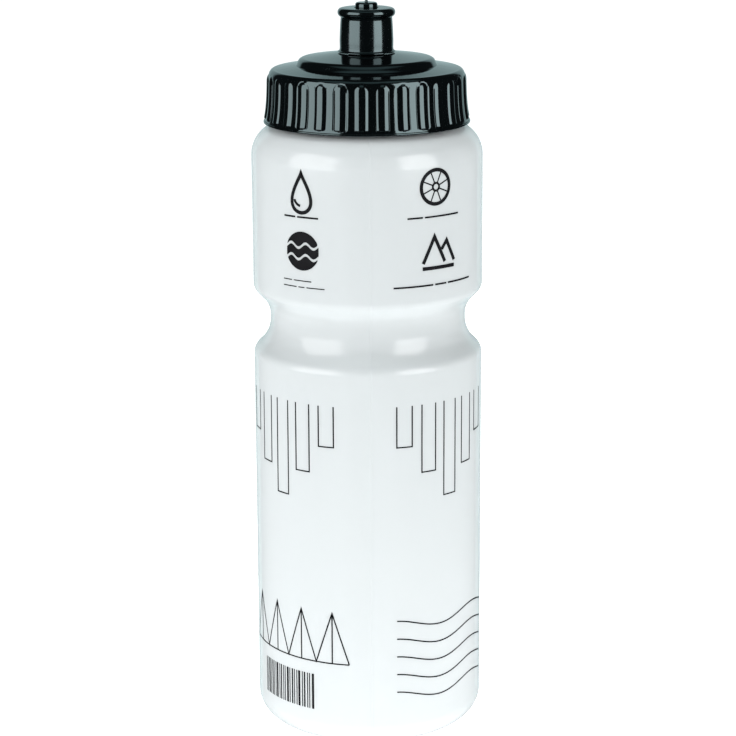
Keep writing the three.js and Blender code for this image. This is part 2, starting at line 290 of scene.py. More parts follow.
def soften(corners, steps=5):
    """A polyline whose corners (radius, z, cut) are rounded, starting cut millimetres before each."""
    points = []
    for i, corner in enumerate(corners):
        cut = corner[2] if len(corner) > 2 else 0
        here = np.array(corner[:2], float)
        if not cut:
            points.append(tuple(here))
            continue
        before = np.array(corners[i - 1][:2], float) - here
        after = np.array(corners[(i + 1) % len(corners)][:2], float) - here
        enter = here + before / np.linalg.norm(before) * cut
        leave = here + after / np.linalg.norm(after) * cut
        for k in range(steps + 1):
            t = k / steps
            points.append(tuple((1 - t) ** 2 * enter + 2 * t * (1 - t) * here + t * t * leave))
    return points


def without_repeats(outline):
    """The outline with points that lie on their neighbour left out."""
    kept = [outline[0]]
    for point in outline[1:]:
        if math.dist(point, kept[-1]) > 1e-4:
            kept.append(point)
    return kept


# ---------------------------------------------------------------- skins

def even_columns(count, start=0.0):
    """Angles evenly round a full turn, in radians."""
    return start + np.arange(count) * 2 * math.pi / count


def rings(outline, columns, push=None):
    """One ring of points for each outline point. push(radius, z, angles) moves them outwards."""
    made = []
    for radius, z in without_repeats(outline):
        if radius < 1e-6:
            made.append(np.array([[0.0, 0.0, z]]))
            continue
        reach = radius + (push(radius, z, columns) if push else 0)
        x = reach * np.cos(columns)
        y = reach * np.sin(columns)
        made.append(np.column_stack([x, y, np.full(len(columns), z)]))
    return made


def bridge(lower, upper):
    """Faces between two rings of vertex numbers, with triangles where their counts differ."""
    n, m = len(lower), len(upper)
    if n == m:
        return [(lower[i], lower[(i + 1) % n], upper[(i + 1) % n], upper[i]) for i in range(n)]
    faces = []
    i = j = 0
    while i < n or j < m:
        if j == m or m == 1 or (i < n and n > 1 and (i + 1) / n <= (j + 1) / m):
            faces.append((lower[i % n], lower[(i + 1) % n], upper[j % m]))
            i += 1
        else:
            faces.append((lower[i % n], upper[(j + 1) % m], upper[j % m]))
            j += 1
        if (m == 1 and i == n) or (n == 1 and j == m):
            break
    return faces


def skin(stack, closed):
    """Vertices and faces of a stack of rings. A closed stack also joins its last ring to its first."""
    numbers = []
    count = 0
    for ring in stack:
        numbers.append(list(range(count, count + len(ring))))
        count += len(ring)
    pairs = list(zip(numbers, numbers[1:]))
    if closed:
        pairs.append((numbers[-1], numbers[0]))
    faces = [face for lower, upper in pairs for face in bridge(lower, upper)]
    return np.vstack(stack), faces


def joined(parts):
    """Several (vertices, faces) pairs as one."""
    vertices = []
    faces = []
    count = 0
    for points, own_faces in parts:
        vertices.append(points)
        faces.extend(tuple(v + count for v in face) for face in own_faces)
        count += len(points)
    return np.vstack(vertices), faces


def make_object(name, part, material):
    """A smooth-shaded mesh object in metres from millimetre vertices and faces."""
    vertices, faces = part
    mesh = bpy.data.meshes.new(name)
    mesh.from_pydata((vertices * MM).tolist(), [], faces)
    mesh.validate()
    mesh.shade_smooth()
    mesh.set_sharp_from_angle(angle=math.radians(SHARP_ANGLE))
    mesh.materials.append(material)
    obj = bpy.data.objects.new(name, mesh)
    bpy.context.scene.collection.objects.link(obj)
    return obj


def weigh_normals(obj):
    """Lets large faces keep their own normals beside small rounded edges."""
    modifier = obj.modifiers.new("weighted_normals", "WEIGHTED_NORMAL")
    modifier.keep_sharp = True


# ---------------------------------------------------------------- bottle body

def thread_height(z, angles, start_turn, start_z):
    """How far the thread stands off its wall at a height, for each angle."""
    first_turn = (angles / (2 * math.pi) - start_turn) % 1
    height = np.zeros(len(angles))
    for extra in range(2):
        turns = first_turn + extra
        off_centre = np.abs(z - start_z - THREAD_PITCH * turns)
        rise = (THREAD_FOOT_HALF_WIDTH - off_centre) / (THREAD_FOOT_HALF_WIDTH - THREAD_CREST_HALF_WIDTH)
        rise = np.clip(rise, 0, 1)
        fade = np.clip(np.minimum(turns, THREAD_TURNS - turns) / THREAD_FADE_TURNS, 0, 1)
        height = np.maximum(height, THREAD_HEIGHT * rise * rise * (3 - 2 * rise) * fade)
    return height


def parting_ridge(radius, angles):
    """The fine raised line where the mould's halves met, at the front and at the back."""
    line_angle = math.radians(PARTING_AZIMUTH - 90)
    off = (angles - line_angle + math.pi / 2) % math.pi - math.pi / 2
    return PARTING_HEIGHT * np.exp(-(off * radius / PARTING_HALF_WIDTH) ** 2)


def wall_wave(z, angles):
    """The slow unevenness of a blown wall, a sum of waves that wind up it."""
    wave = sum(share * np.sin(lobes * angles + z / rise + start) for lobes, rise, start, share in WAVES)
    return WAVE_HEIGHT * wave / sum(share for *_, share in WAVES)


def body_push(radius, z, angles):
    """Mould marks on the body's outside, and the thread on its neck."""
    if z > NECK_FOOT_Z:
        return thread_height(z, angles, 0, NECK_THREAD_Z)
    share = np.clip((radius - FOOT_OUTER_RADIUS) / MARKS_FADE, 0, 1)
    return share * (wall_wave(z, angles) + parting_ridge(radius, angles))


def push_up(lift):
    """The domed underside inside the foot ring."""
    steps = 14
    return [
        (FOOT_INNER_RADIUS * i / steps, lift + PUSH_UP * (1 - (i / steps) ** 2))
        for i in range(steps + 1)
    ]


def waist_side(end, direction, inset, steps):
    """One side of the waist: a round edge off the wall, a slope, and a round hollow onto the waist."""
    slope = math.radians(end["slope"])
    rounds = end["edge"] + end["hollow"]
    straight = (BODY_RADIUS - WAIST_RADIUS - rounds * (1 - math.cos(slope))) / math.sin(slope)
    height = rounds * math.sin(slope) + straight * math.cos(slope)
    edge = end["edge"] - inset
    hollow = end["hollow"] + inset
    hollow_z = end["z"] + direction * height
    return [
        *arc(BODY_RADIUS - end["edge"], end["z"], edge, direction * edge, 0, end["slope"], steps),
        *arc(WAIST_RADIUS + end["hollow"], hollow_z, -hollow, -direction * hollow, end["slope"], 0, steps),
    ]


def body_side(inset, steps, wall_step):
    """The wall from foot corner to shoulder, set in from the outside by inset."""
    wall = BODY_RADIUS - inset
    corner_reach = BODY_RADIUS - FOOT_OUTER_RADIUS - inset
    shoulder = SHOULDER_RADIUS - inset
    return [
        *arc(FOOT_OUTER_RADIUS, FOOT_CORNER_HEIGHT, corner_reach, FOOT_CORNER_HEIGHT - inset, -90, 0, steps),
        *line((wall, FOOT_CORNER_HEIGHT), (wall, WAIST_FOOT["z"]), wall_step),
        *waist_side(WAIST_FOOT, 1, inset, steps // 2),
        *waist_side(WAIST_HEAD, -1, inset, steps // 2)[::-1],
        *line((wall, WAIST_HEAD["z"]), (wall, SHOULDER_Z), wall_step),
        *arc(BODY_RADIUS - SHOULDER_RADIUS, SHOULDER_Z, shoulder, shoulder, 0, 80, steps),
    ]


def bottle_visual(material):
    """The blown body: one shell with an outside, a rounded rim and an inside, finer at the parting line."""
    columns = list(even_columns(BODY_COLUMNS))
    for side in (0, 180):
        for offset in PARTING_OFFSETS:
            columns.append(math.radians(PARTING_AZIMUTH - 90 + side + offset) % (2 * math.pi))
    columns = np.array(sorted(set(round(c, 6) for c in columns)))
    outside = [
        *push_up(0),
        *body_side(0, BODY_ARC_STEPS, WALL_STEP),
        *soften([
            (BODY_RADIUS - SHOULDER_RADIUS + 1.7, NECK_FOOT_Z - 0.4),
            (NECK_RADIUS, NECK_FOOT_Z, 0.4),
            (NECK_RADIUS, NECK_FOOT_Z + 1),
        ]),
        *line((NECK_RADIUS, NECK_FOOT_Z + 1), (NECK_RADIUS, NECK_RIM_Z - RIM_ROUND), THREAD_ROW_STEP),
        *arc(NECK_RADIUS - RIM_ROUND, NECK_RIM_Z - RIM_ROUND, RIM_ROUND, RIM_ROUND, 0, 90, 6),
    ]
    inside = [
        *push_up(BODY_WALL),
        *body_side(BODY_WALL, BODY_ARC_STEPS // 2, WALL_STEP * 3),
        (NECK_BORE_RADIUS, NECK_FOOT_Z),
        (NECK_BORE_RADIUS, NECK_RIM_Z - RIM_ROUND),
        *arc(NECK_BORE_RADIUS + RIM_ROUND, NECK_RIM_Z - RIM_ROUND, RIM_ROUND, RIM_ROUND, 180, 90, 6),
    ]
    stack = rings(outside, columns, body_push) + rings(inside[::-1], columns)
    body = make_object("bottle_visual", skin(stack, closed=False), material)
    weigh_normals(body)
    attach(body, "bottle")
    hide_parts("bottle_body")


# ---------------------------------------------------------------- screw cap

def skirt_flare(z):
    """How far the skirt stands out beyond its plain radius at a height."""
    return SKIRT_FLARE * math.exp((LIP_Z + LIP_BAND - max(z, LIP_Z + LIP_BAND)) / SKIRT_FLARE_DECAY)


def smooth_most(a, b, width):
    """The larger of two numbers, with their crossing filled in by a small round."""
    near = np.maximum(width - np.abs(a - b), 0) / width
    return np.maximum(a, b) + near * near * width / 4


def grip_push(radius, z, angles):
    """How far the ribs stand off a round of this radius."""
    pitch = 2 * math.pi / GRIP_COUNT
    first = math.radians(GRIP_FIRST_AZIMUTH - 90)
    off = (angles - first + pitch / 2) % pitch - pitch / 2
    beyond = max(z - GRIP_HEAD_Z, (GRIP_FOOT_Z - z) * GRIP_FOOT_SQUASH, 0)
    distance = SKIRT_RADIUS + skirt_flare(z) - GRIP_ROD_RADIUS
    inside = GRIP_ROD_RADIUS ** 2 - beyond ** 2 - (distance * np.sin(off)) ** 2
    outer_side = distance * np.cos(off) + np.sqrt(np.maximum(inside, 0))
    outer_side = np.where(inside > 0, outer_side, 0)
    seam = np.exp(-((outer_side - radius) / GRIP_SEAM_REACH) ** 2)
    raised = smooth_most(np.full(len(angles), radius), outer_side, GRIP_FOOT_FILLET)
    return raised - radius - GRIP_SEAM_DEPTH * seam


def cap_outside():
    """The cap's outer side, from its lip up to the foot of the stem."""
    lip_top = LIP_Z + LIP_BAND
    land_rows = [
        *line((0, lip_top + 0.25), (0, GRIP_FOOT_Z + 0.3), 0.1),
        *line((0, GRIP_FOOT_Z + 0.8), (0, SKIRT_TOP_Z), 0.8),
    ]
    edge_top = SKIRT_TOP_Z + CAP_EDGE_HEIGHT
    edge_reach = LAND_RADIUS + skirt_flare(SKIRT_TOP_Z) - CAP_EDGE_RADIUS
    return [
        (SKIRT_BORE_RADIUS + 1.2, LIP_Z),
        *soften([
            (LIP_RADIUS - 1, LIP_Z),
            (LIP_RADIUS, LIP_Z, 0.28),
            (LIP_RADIUS, lip_top, 0.2),
            (LAND_RADIUS + SKIRT_FLARE, lip_top + 0.12, 0.1),
        ]),
        *[(LAND_RADIUS + skirt_flare(z), z) for _, z in land_rows],
        *arc(CAP_EDGE_RADIUS, SKIRT_TOP_Z, edge_reach, CAP_EDGE_HEIGHT, 3, 90, 30),
        *soften([
            (CAP_EDGE_RADIUS - 0.6, edge_top + 0.08),
            (DISC_RADIUS + 0.15, edge_top + SHOULDER_RISE),
            *DISC_SIDE,
            (DISC_SIDE[-1][0] - 0.6, DISC_SIDE[-1][1] + 0.08),
        ]),
        *line((DISC_SIDE[-1][0] - 1.2, DISC_SIDE[-1][1] + 0.16), (DOME_FOOT_RADIUS, DOME_FOOT_Z), 1.2),
        (DOME_FOOT_RADIUS - 0.6, DOME_FOOT_Z),
    ]


def stem_outline():
    """Up the stem tube's outside, over its top and down its bore."""
    return soften([
        (STEM_RADIUS, DOME_FOOT_Z, 0.3),
        (STEM_RADIUS, STEM_BEAD_Z[0] - 0.1, 0.1),
        (STEM_BEAD_RADIUS, STEM_BEAD_Z[0] + 0.3, 0.15),
        (STEM_BEAD_RADIUS, STEM_BEAD_Z[1], 0.15),
        (STEM_RADIUS, STEM_TOP_Z, 0.2),
        (STEM_BORE_RADIUS, STEM_TOP_Z, 0.3),
        (STEM_BORE_RADIUS, DOME_FOOT_Z - ROOF_WALL, 0.3),
    ])


def cap_inside_outline():
    """The cap's inner side, from the stem's bore out to the top of the skirt's bore."""
    return soften([
        (STEM_BORE_RADIUS + 0.8, DOME_FOOT_Z - ROOF_WALL),
        *ROOF_CORNERS,
        (PLUG_RING[0], PLUG_RING_HEAD_Z, 0.4),
        (PLUG_RING[0], PLUG_RING_Z, 0.35),
        (PLUG_RING[1], PLUG_RING_Z, 0.35),
        (PLUG_RING[1], SEAT_Z, 0.3),
        (SKIRT_BORE_RADIUS, SEAT_Z, 0.4),
    ])


def cap_thread_push(radius, z, angles):
    """The thread in the skirt's bore, which stands inwards."""
    return -thread_height(z, angles, CAP_THREAD_TURN, CAP_THREAD_Z)


def pin_part():
    """The centre pin, with a head that closes the nozzle's hole and a small nib on top."""
    outline = [
        (0, PIN_FOOT_Z),
        *soften([
            (PIN_RADIUS - 1, PIN_FOOT_Z),
            (PIN_RADIUS, PIN_FOOT_Z, 0.35),
            (PIN_RADIUS, PIN_HEAD_Z[0], 0.3),
            (PIN_HEAD_RADIUS, PIN_HEAD_Z[1], 0.25),
            (PIN_HEAD_RADIUS, PIN_TOP_Z - PIN_EDGE),
        ]),
        *arc(PIN_HEAD_RADIUS - PIN_EDGE, PIN_TOP_Z - PIN_EDGE, PIN_EDGE, PIN_EDGE, 10, 90, 7),
        *soften([
            (NIB_RADII[0] + 0.5, PIN_TOP_Z),
            (NIB_RADII[0], PIN_TOP_Z, 0.12),
            (NIB_RADII[1], NIB_TOP_Z, 0.12),
        ]),
        (0, NIB_TOP_Z),
    ]
    return skin(rings(outline, even_columns(STEM_COLUMNS)), closed=False)


def rib_part(index):
    """One upright rib between the pin and the stem's bore."""
    half = RIB_THICKNESS / 2
    near, far = RIB_REACH
    corners = [(-half, near), (half, near), (half, far), (-half, far)]
    low, high = RIB_Z
    levels = (
        (low, RIB_END_SHARE),
        (low + RIB_CHAMFER, 1),
        (high - RIB_CHAMFER, 1),
        (high, RIB_END_SHARE),
    )
    turn = 2 * math.pi * index / RIB_COUNT
    sine, cosine = math.sin(turn), math.cos(turn)
    stack = []
    for z, share in levels:
        ring = [(x * share * cosine - y * sine, x * share * sine + y * cosine, z) for x, y in corners]
        stack.append(np.array(ring))
    points, faces = skin(stack, closed=False)
    last = len(points)
    return points, faces + [(3, 2, 1, 0), (last - 4, last - 3, last - 2, last - 1)]


def cap_visual(material):
    """The screw cap: its skirt, roof and stem as one closed skin, with the pin and its ribs."""
    pitch = 360 / GRIP_COUNT
    offsets = [-o for o in GRIP_COLUMNS[:0:-1]] + list(GRIP_COLUMNS) + [pitch / 2]
    fine = np.array([
        math.radians(GRIP_FIRST_AZIMUTH - 90 + rib * pitch + offset)
        for rib in range(GRIP_COUNT)
        for offset in offsets
    ])
    inner = even_columns(CAP_INSIDE_COLUMNS, fine[0])
    chamfer_reach, chamfer_height = LIP_CHAMFER
    bore_foot = (SKIRT_BORE_RADIUS, LIP_Z + chamfer_height)
    bore = [
        *line((SKIRT_BORE_RADIUS, SEAT_Z - 0.6), bore_foot, CAP_INSIDE_STEP),
        (SKIRT_BORE_RADIUS + chamfer_reach, LIP_Z),
    ]
    stack = [
        *rings(cap_outside(), fine, grip_push),
        *rings(stem_outline(), even_columns(STEM_COLUMNS, fine[0])),
        *rings(cap_inside_outline(), inner),
        *rings(bore, inner, cap_thread_push),
    ]
    parts = [skin(stack, closed=True), pin_part(), *[rib_part(i) for i in range(RIB_COUNT)]]
    cap = make_object("cap_visual", joined(parts), material)
    weigh_normals(cap)
    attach(cap, "cap")
    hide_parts("screw_cap")


# ---------------------------------------------------------------- nozzle

def nozzle_visual(material):
    """The push-pull nozzle: one closed skin up its sleeve, over its flange and down its bore."""
    sleeve_foot = NOZZLE_SLEEVE[0]
    sleeve = []
    for first, last in zip(NOZZLE_SLEEVE, NOZZLE_SLEEVE[1:]):
        sleeve.extend(line(first, last, SLEEVE_STEP))
    outline = [
        *soften([
            (NOZZLE_BEAD_RADIUS + 0.3, NOZZLE_FOOT_Z, 0.15),
            (NOZZLE_LIP_RADIUS, NOZZLE_FOOT_Z, 0.22),
            (NOZZLE_LIP_RADIUS, sleeve_foot[1] - 0.72, 0.2),
            (sleeve_foot[0] + 0.1, sleeve_foot[1] - 0.45, 0.35),
            (sleeve_foot[0], sleeve_foot[1] + 0.5),
        ]),
        *sleeve,
        *arc(FLANGE_RADIUS, FLANGE_Z, FLANGE_REACH, FLANGE_HEIGHT, -72, 80, 26),
        *soften([
            (FLANGE_RADIUS - 0.4, NOZZLE_TOP_Z),
            (NOZZLE_HOLE_RADIUS, NOZZLE_TOP_Z, 0.35),
            (NOZZLE_HOLE_RADIUS, NOZZLE_ROOF_Z, 0.2),
            (NOZZLE_BORE_RADIUS, NOZZLE_ROOF_Z, 0.4),
            (NOZZLE_BORE_RADIUS, NOZZLE_BEAD_Z[1] + 0.4, 0.3),
            (NOZZLE_BEAD_RADIUS, NOZZLE_BEAD_Z[1] - 0.1, 0.2),
            (NOZZLE_BEAD_RADIUS, NOZZLE_BEAD_Z[0], 0.2),
        ]),
    ]
    stack = rings(outline, even_columns(NOZZLE_COLUMNS))
    piece = make_object("nozzle_visual", skin(stack, closed=True), material)
    weigh_normals(piece)
    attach(piece, "mouthpiece")
    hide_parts("nozzle")


# ---------------------------------------------------------------- print

def on_wall(points, lift):
    """Places on the body's wall, from (millimetres round from the front, height)."""
    angles = points[:, 0] / BODY_RADIUS - math.pi / 2
    z = points[:, 1]
    reach = BODY_RADIUS + lift + wall_wave(z, angles) + parting_ridge(BODY_RADIUS, angles)
    return np.column_stack([reach * np.cos(angles), reach * np.sin(angles), z])


def band(stations, closed=False, layer=0):
    """A thin solid of ink between two edges. Each station is the two edges' points."""
    stations = np.array(stations, float)
    first, second = stations[:, 0], stations[:, 1]
    proud = INK_PROUD + INK_LAYER * layer
    edges = ((first, proud), (second, proud), (second, -INK_SUNK), (first, -INK_SUNK))
    corners = [on_wall(edge, lift) for edge, lift in edges]
    vertices = np.stack(corners, axis=1).reshape(-1, 3)
    count = len(stations)
    faces = []
    for i in range(count if closed else count - 1):
        here = 4 * i
        there = 4 * ((i + 1) % count)
        for k in range(4):
            m = (k + 1) % 4
            faces.append((here + k, here + m, there + m, there + k))
    if not closed:
        last = 4 * count - 4
        faces += [(3, 2, 1, 0), (last, last + 1, last + 2, last + 3)]
    return vertices, faced_outwards(vertices, faces)


def faced_outwards(vertices, faces):
    """The faces, all turned round if they enclose a negative volume."""
    volume = 0
    for face in faces:
        corner, *others = vertices[list(face)]
        for a, b in zip(others, others[1:]):
            volume += np.dot(corner, np.cross(a, b))
    return faces if volume > 0 else [face[::-1] for face in faces]


def stroke(points, width=FINE_LINE, closed=False, layer=0):
    """A line of ink of an even width through some points, with mitred corners."""
    ends = list(points) + [points[0]] if closed else list(points)
    path = [ends[0]]
    for first, last in zip(ends, ends[1:]):
        path.extend(line(first, last, INK_STEP)[1:])
    if closed:
        path.pop()
    path = np.array(path)
    leaving = np.roll(path, -1, axis=0) - path
    arriving = path - np.roll(path, 1, axis=0)
    if not closed:
        leaving[-1] = arriving[-1]
        arriving[0] = leaving[0]
    leaving /= np.linalg.norm(leaving, axis=1)[:, None]
    arriving /= np.linalg.norm(arriving, axis=1)[:, None]
    along = leaving + arriving
    along /= np.maximum(np.linalg.norm(along, axis=1), 1e-6)[:, None]
    across = np.column_stack([-along[:, 1], along[:, 0]])
    cosine = np.abs(np.sum(across * np.column_stack([-leaving[:, 1], leaving[:, 0]]), axis=1))
    half = (width / 2) / np.maximum(cosine, 0.4)
    shift = across * half[:, None]
    return band(np.stack([path + shift, path - shift], axis=1), closed, layer)


def filled(turns, low, high):
    """Ink between two heights that change along the way, in as many pieces as that takes."""
    parts = []
    run = []
    for turn, foot, head in zip(turns, low, high):
        if head - foot > LEAST_INK_HEIGHT:
            run.append(((turn, foot), (turn, head)))
            continue
        if len(run) > 1:
            parts.append(band(run))
        run = []
    if len(run) > 1:
        parts.append(band(run))
    return parts


def around(azimuth):
    """Millimetres round the wall from the front, for an azimuth in degrees."""
    return math.radians(azimuth) * BODY_RADIUS


def turned(points, azimuth, z):
    """Points about (0, 0), moved to a place on the wall."""
    return [(around(azimuth) + u, z + v) for u, v in points]


def ring_points(radius, start=0, stop=360, steps=48):
    """Points of a round arc about (0, 0), from start to stop degrees."""
    return arc(0, 0, radius, radius, start, stop, steps)


def drop_pictogram(azimuth, z):
    """A water drop in outline, with a small shine line."""
    half_width, half_height, sink = 4.9, 6.1, 1.2
    tip_sharpness = 1.4
    shine_radius = 2.6
    steps = 60
    outline = []
    for i in range(steps):
        t = 2 * math.pi * i / steps
        u = half_width * math.sin(t) * math.sin(t / 2) ** tip_sharpness
        outline.append((u, half_height * math.cos(t) - sink))
    shine = [(u, v - shine_radius) for u, v in ring_points(shine_radius, 195, 262, 10)]
    return [
        stroke(turned(outline, azimuth, z), BROAD_LINE, closed=True),
        stroke(turned(shine, azimuth, z), BROAD_LINE * 0.7, layer=1),
    ]


def ripple_pictogram(azimuth, z):
    """A solid disc with two ripples left clear across it, each twice gap wide."""
    radius = 6.1
    gap = 0.42
    turns = np.linspace(-radius, radius, 61)
    rim = np.sqrt(np.maximum(radius ** 2 - turns ** 2, 0))
    swell = 0.75 * np.sin(turns * 1.15)
    upper = 1.7 + swell
    lower = -1.9 + swell
    place = turns + around(azimuth)
    return [
        *filled(place, z + np.maximum(upper + gap, -rim), z + rim),
        *filled(place, z + np.maximum(lower + gap, -rim), z + np.minimum(upper - gap, rim)),
        *filled(place, z - rim, z + np.minimum(lower - gap, rim)),
    ]


def wheel_pictogram(azimuth, z):
    """A spoked wheel."""
    rim_radius = 5.3
    hub_radius = 1.2
    spokes = 8
    parts = [
        stroke(turned(ring_points(rim_radius)[:-1], azimuth, z), BROAD_LINE, closed=True),
        stroke(turned(ring_points(hub_radius, steps=20)[:-1], azimuth, z), BROAD_LINE * 0.6, closed=True),
    ]
    for i in range(spokes):
        turn = math.radians(360 / spokes * (i + 0.5))
        inner = (hub_radius * math.cos(turn), hub_radius * math.sin(turn))
        outer = (rim_radius * math.cos(turn), rim_radius * math.sin(turn))
        parts.append(stroke(turned([inner, outer], azimuth, z), FINE_LINE, layer=1))
    return parts


def hills_pictogram(azimuth, z):
    """Two peaks over a base line."""
    high = [(-6, -3.6), (-1.9, 4.6), (2.2, -3.6)]
    low = [(0.9, 0.4), (2.9, 3.0), (6.2, -3.6)]
    return [
        stroke(turned(high, azimuth, z), BROAD_LINE),
        stroke(turned(low, azimuth, z), BROAD_LINE, layer=1),
        stroke(turned([(-6.2, -5.2), (6.2, -5.2)], azimuth, z), BROAD_LINE, layer=2),
    ]


def caption(first, last, z, dashes, width=CAPTION_LINE):
    """A row of dashes where a line of words would be. They share its length in proportion to dashes."""
    parts = []
    room = sum(dashes)
    start = around(first)
    for dash in dashes:
        stop = start + (around(last) - around(first)) * dash / room
        parts.append(stroke([(start, z), (stop - DASH_GAP, z)], width))
        start = stop
    return parts


def hangers(first, last, count, head, depth):
    """A row of open brackets of one width hung from one height, their depths rising and falling evenly."""
    width_share = 0.6
    depth_swing = 0.4
    parts = []
    room = (around(last) - around(first)) / count
    for i in range(count):
        left = around(first) + i * room
        right = left + width_share * room
        foot = head - depth * (1 - depth_swing * math.cos(2 * math.pi * i / (count - 1)))
        parts.append(stroke([(left, head), (left, foot), (right, foot), (right, head)]))
    return parts


def facets(first, last, count, low, high):
    """A row of equal triangles on a base line, each with a line down its middle."""
    room = (around(last) - around(first)) / count
    start = around(first)
    ridge = [(start + i * room / 2, high if i % 2 else low) for i in range(2 * count + 1)]
    parts = [stroke(ridge), stroke([ridge[0], ridge[-1]], layer=1)]
    for turn, _ in ridge[1::2]:
        parts.append(stroke([(turn, high), (turn, low)], layer=2))
    return parts


def wave_line(first, last, z, swing, layer):
    """A fine line that swings gently up and down along the wall."""
    millimetres_per_radian = 5.2
    turns = np.linspace(around(first), around(last), 40)
    return stroke([(u, z + swing * math.sin(u / millimetres_per_radian)) for u in turns], layer=layer)


def bars(first, last, low, high):
    """An even pattern of thin and thick upright bars."""
    parts = []
    place = around(first)
    count = 0
    while place < around(last):
        width = BAR_WIDTHS[count % len(BAR_WIDTHS)]
        parts.append(stroke([(place + width / 2, low), (place + width / 2, high)], width))
        place += width + BAR_GAPS[count % len(BAR_GAPS)]
        count += 1
    return parts


def print_piece(name, parts, material):
    """One piece of print on the bottle's wall."""
    piece = make_object(name, joined(parts), material)
    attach(piece, "bottle")


def print_visuals(material):
    """All the print. Pictograms are placed by azimuth and height, rows by first and last azimuth."""
    print_piece("print_pictograms", [
        *drop_pictogram(-33.5, 181.9),
        *ripple_pictogram(-33.3, 162.6),
        *wheel_pictogram(35, 182.4),
        *hills_pictogram(37.2, 162.3),
    ], material)
    print_piece("print_captions", [
        *caption(-44, -23, 173.2, (5, 8)),
        *caption(-45, -27, 153.2, (4, 7), SMALL_CAPTION_LINE),
        *caption(-45, -20, 151.2, (6, 3, 7), SMALL_CAPTION_LINE),
        *caption(19.5, 51, 173.2, (5, 12)),
        *caption(12.5, 61, 151.8, (11, 4, 9)),
    ], material)
    print_piece("print_hangers", [
        *hangers(-78, -12, 5, 114, 22),
        *hangers(14, 80, 5, 114, 22),
    ], material)
    print_piece("print_facets", [
        *facets(-80, -10, 4, 29, 46),
        *[wave_line(14, 80, 18 + 6 * i, 1.5, i) for i in range(5)],
    ], material)
    print_piece("print_bars", bars(-66, -29, 12.5, 24.5), material)


# ---------------------------------------------------------------- materials

def new_material(name):
    """A material with one Principled shader, and that shader."""
    material = bpy.data.materials.new(name)
    material.use_nodes = True
    nodes = material.node_tree.nodes
    nodes.clear()
    output = nodes.new("ShaderNodeOutputMaterial")
    shader = nodes.new("ShaderNodeBsdfPrincipled")
    material.node_tree.links.new(shader.outputs["BSDF"], output.inputs["Surface"])
    return material, shader


def noise(material, scale, detail, stretch=(1, 1, 1)):
    """A noise in the piece's own coordinates, as a value from 0 to 1."""
    nodes = material.node_tree.nodes
    links = material.node_tree.links
    place = nodes.new("ShaderNodeTexCoord")
    mapping = nodes.new("ShaderNodeMapping")
    mapping.inputs["Scale"].default_value = stretch
    texture = nodes.new("ShaderNodeTexNoise")
    texture.inputs["Scale"].default_value = scale
    texture.inputs["Detail"].default_value = detail
    links.new(place.outputs["Object"], mapping.inputs["Vector"])
    links.new(mapping.outputs["Vector"], texture.inputs["Vector"])
    return texture.outputs["Fac"]


def remap(material, value, low, high):
    """A noise's usual span of values spread from low to high."""
    node = material.node_tree.nodes.new("ShaderNodeMapRange")
    node.inputs["From Min"].default_value = NOISE_SPAN[0]
    node.inputs["From Max"].default_value = NOISE_SPAN[1]
    node.inputs["To Min"].default_value = low
    node.inputs["To Max"].default_value = high
    material.node_tree.links.new(value, node.inputs["Value"])
    return node.outputs["Result"]


def mixed_colour(material, value, first, second):
    """The first colour where a value is 0, the second where it is 1."""
    node = material.node_tree.nodes.new("ShaderNodeMix")
    node.data_type = "RGBA"
    node.inputs["A"].default_value = (*first, 1)
    node.inputs["B"].default_value = (*second, 1)
    material.node_tree.links.new(value, node.inputs["Factor"])
    return node.outputs["Result"]


def bump(material, value, distance, strength, below=None):
    """Normals that a value raises by up to distance, over those of another bump if there is one."""
    node = material.node_tree.nodes.new("ShaderNodeBump")
    node.inputs["Strength"].default_value = strength
    node.inputs["Distance"].default_value = distance
    material.node_tree.links.new(value, node.inputs["Height"])
    if below is not None:
        material.node_tree.links.new(below, node.inputs["Normal"])
    return node.outputs["Normal"]


def milky_plastic():
    """Natural polyethylene: faintly cloudy, glossy, with soft flow marks and a slight orange peel."""
    material, shader = new_material("milky_polyethylene")
    links = material.node_tree.links
    cloud = noise(material, *MILKY_CLOUD)
    links.new(mixed_colour(material, cloud, MILKY_LOW, MILKY_HIGH), shader.inputs["Base Color"])
    gloss = remap(material, noise(material, *MILKY_HAZE), *MILKY_ROUGHNESS)
    links.new(gloss, shader.inputs["Roughness"])
    shader.inputs["IOR"].default_value = MILKY_IOR
    shader.inputs["Subsurface Weight"].default_value = MILKY_SUBSURFACE_WEIGHT
    shader.inputs["Subsurface Radius"].default_value = (1.0, 1.0, 1.0)
    shader.inputs["Subsurface Scale"].default_value = MILKY_SUBSURFACE_SCALE
    flow = bump(material, noise(material, *MILKY_FLOW), *MILKY_FLOW_BUMP)
    peel = bump(material, noise(material, *MILKY_PEEL), *MILKY_PEEL_BUMP, flow)
    links.new(peel, shader.inputs["Normal"])
    return material


def black_plastic(name, roughness):
    """Polished black polyolefin with a faint moulding texture and soft handling haze."""
    material, shader = new_material(name)
    links = material.node_tree.links
    tone = mixed_colour(material, noise(material, *BLACK_TONE), BLACK_LOW, BLACK_HIGH)
    links.new(tone, shader.inputs["Base Color"])
    haze = remap(material, noise(material, *BLACK_HAZE), *roughness)
    links.new(haze, shader.inputs["Roughness"])
    shader.inputs["IOR"].default_value = BLACK_IOR
    shader.inputs["Specular Tint"].default_value = (*BLACK_TINT, 1)
    ripple = bump(material, noise(material, *BLACK_RIPPLE), *BLACK_RIPPLE_BUMP)
    grain = bump(material, noise(material, *BLACK_GRAIN), *BLACK_GRAIN_BUMP, ripple)
    links.new(grain, shader.inputs["Normal"])
    return material


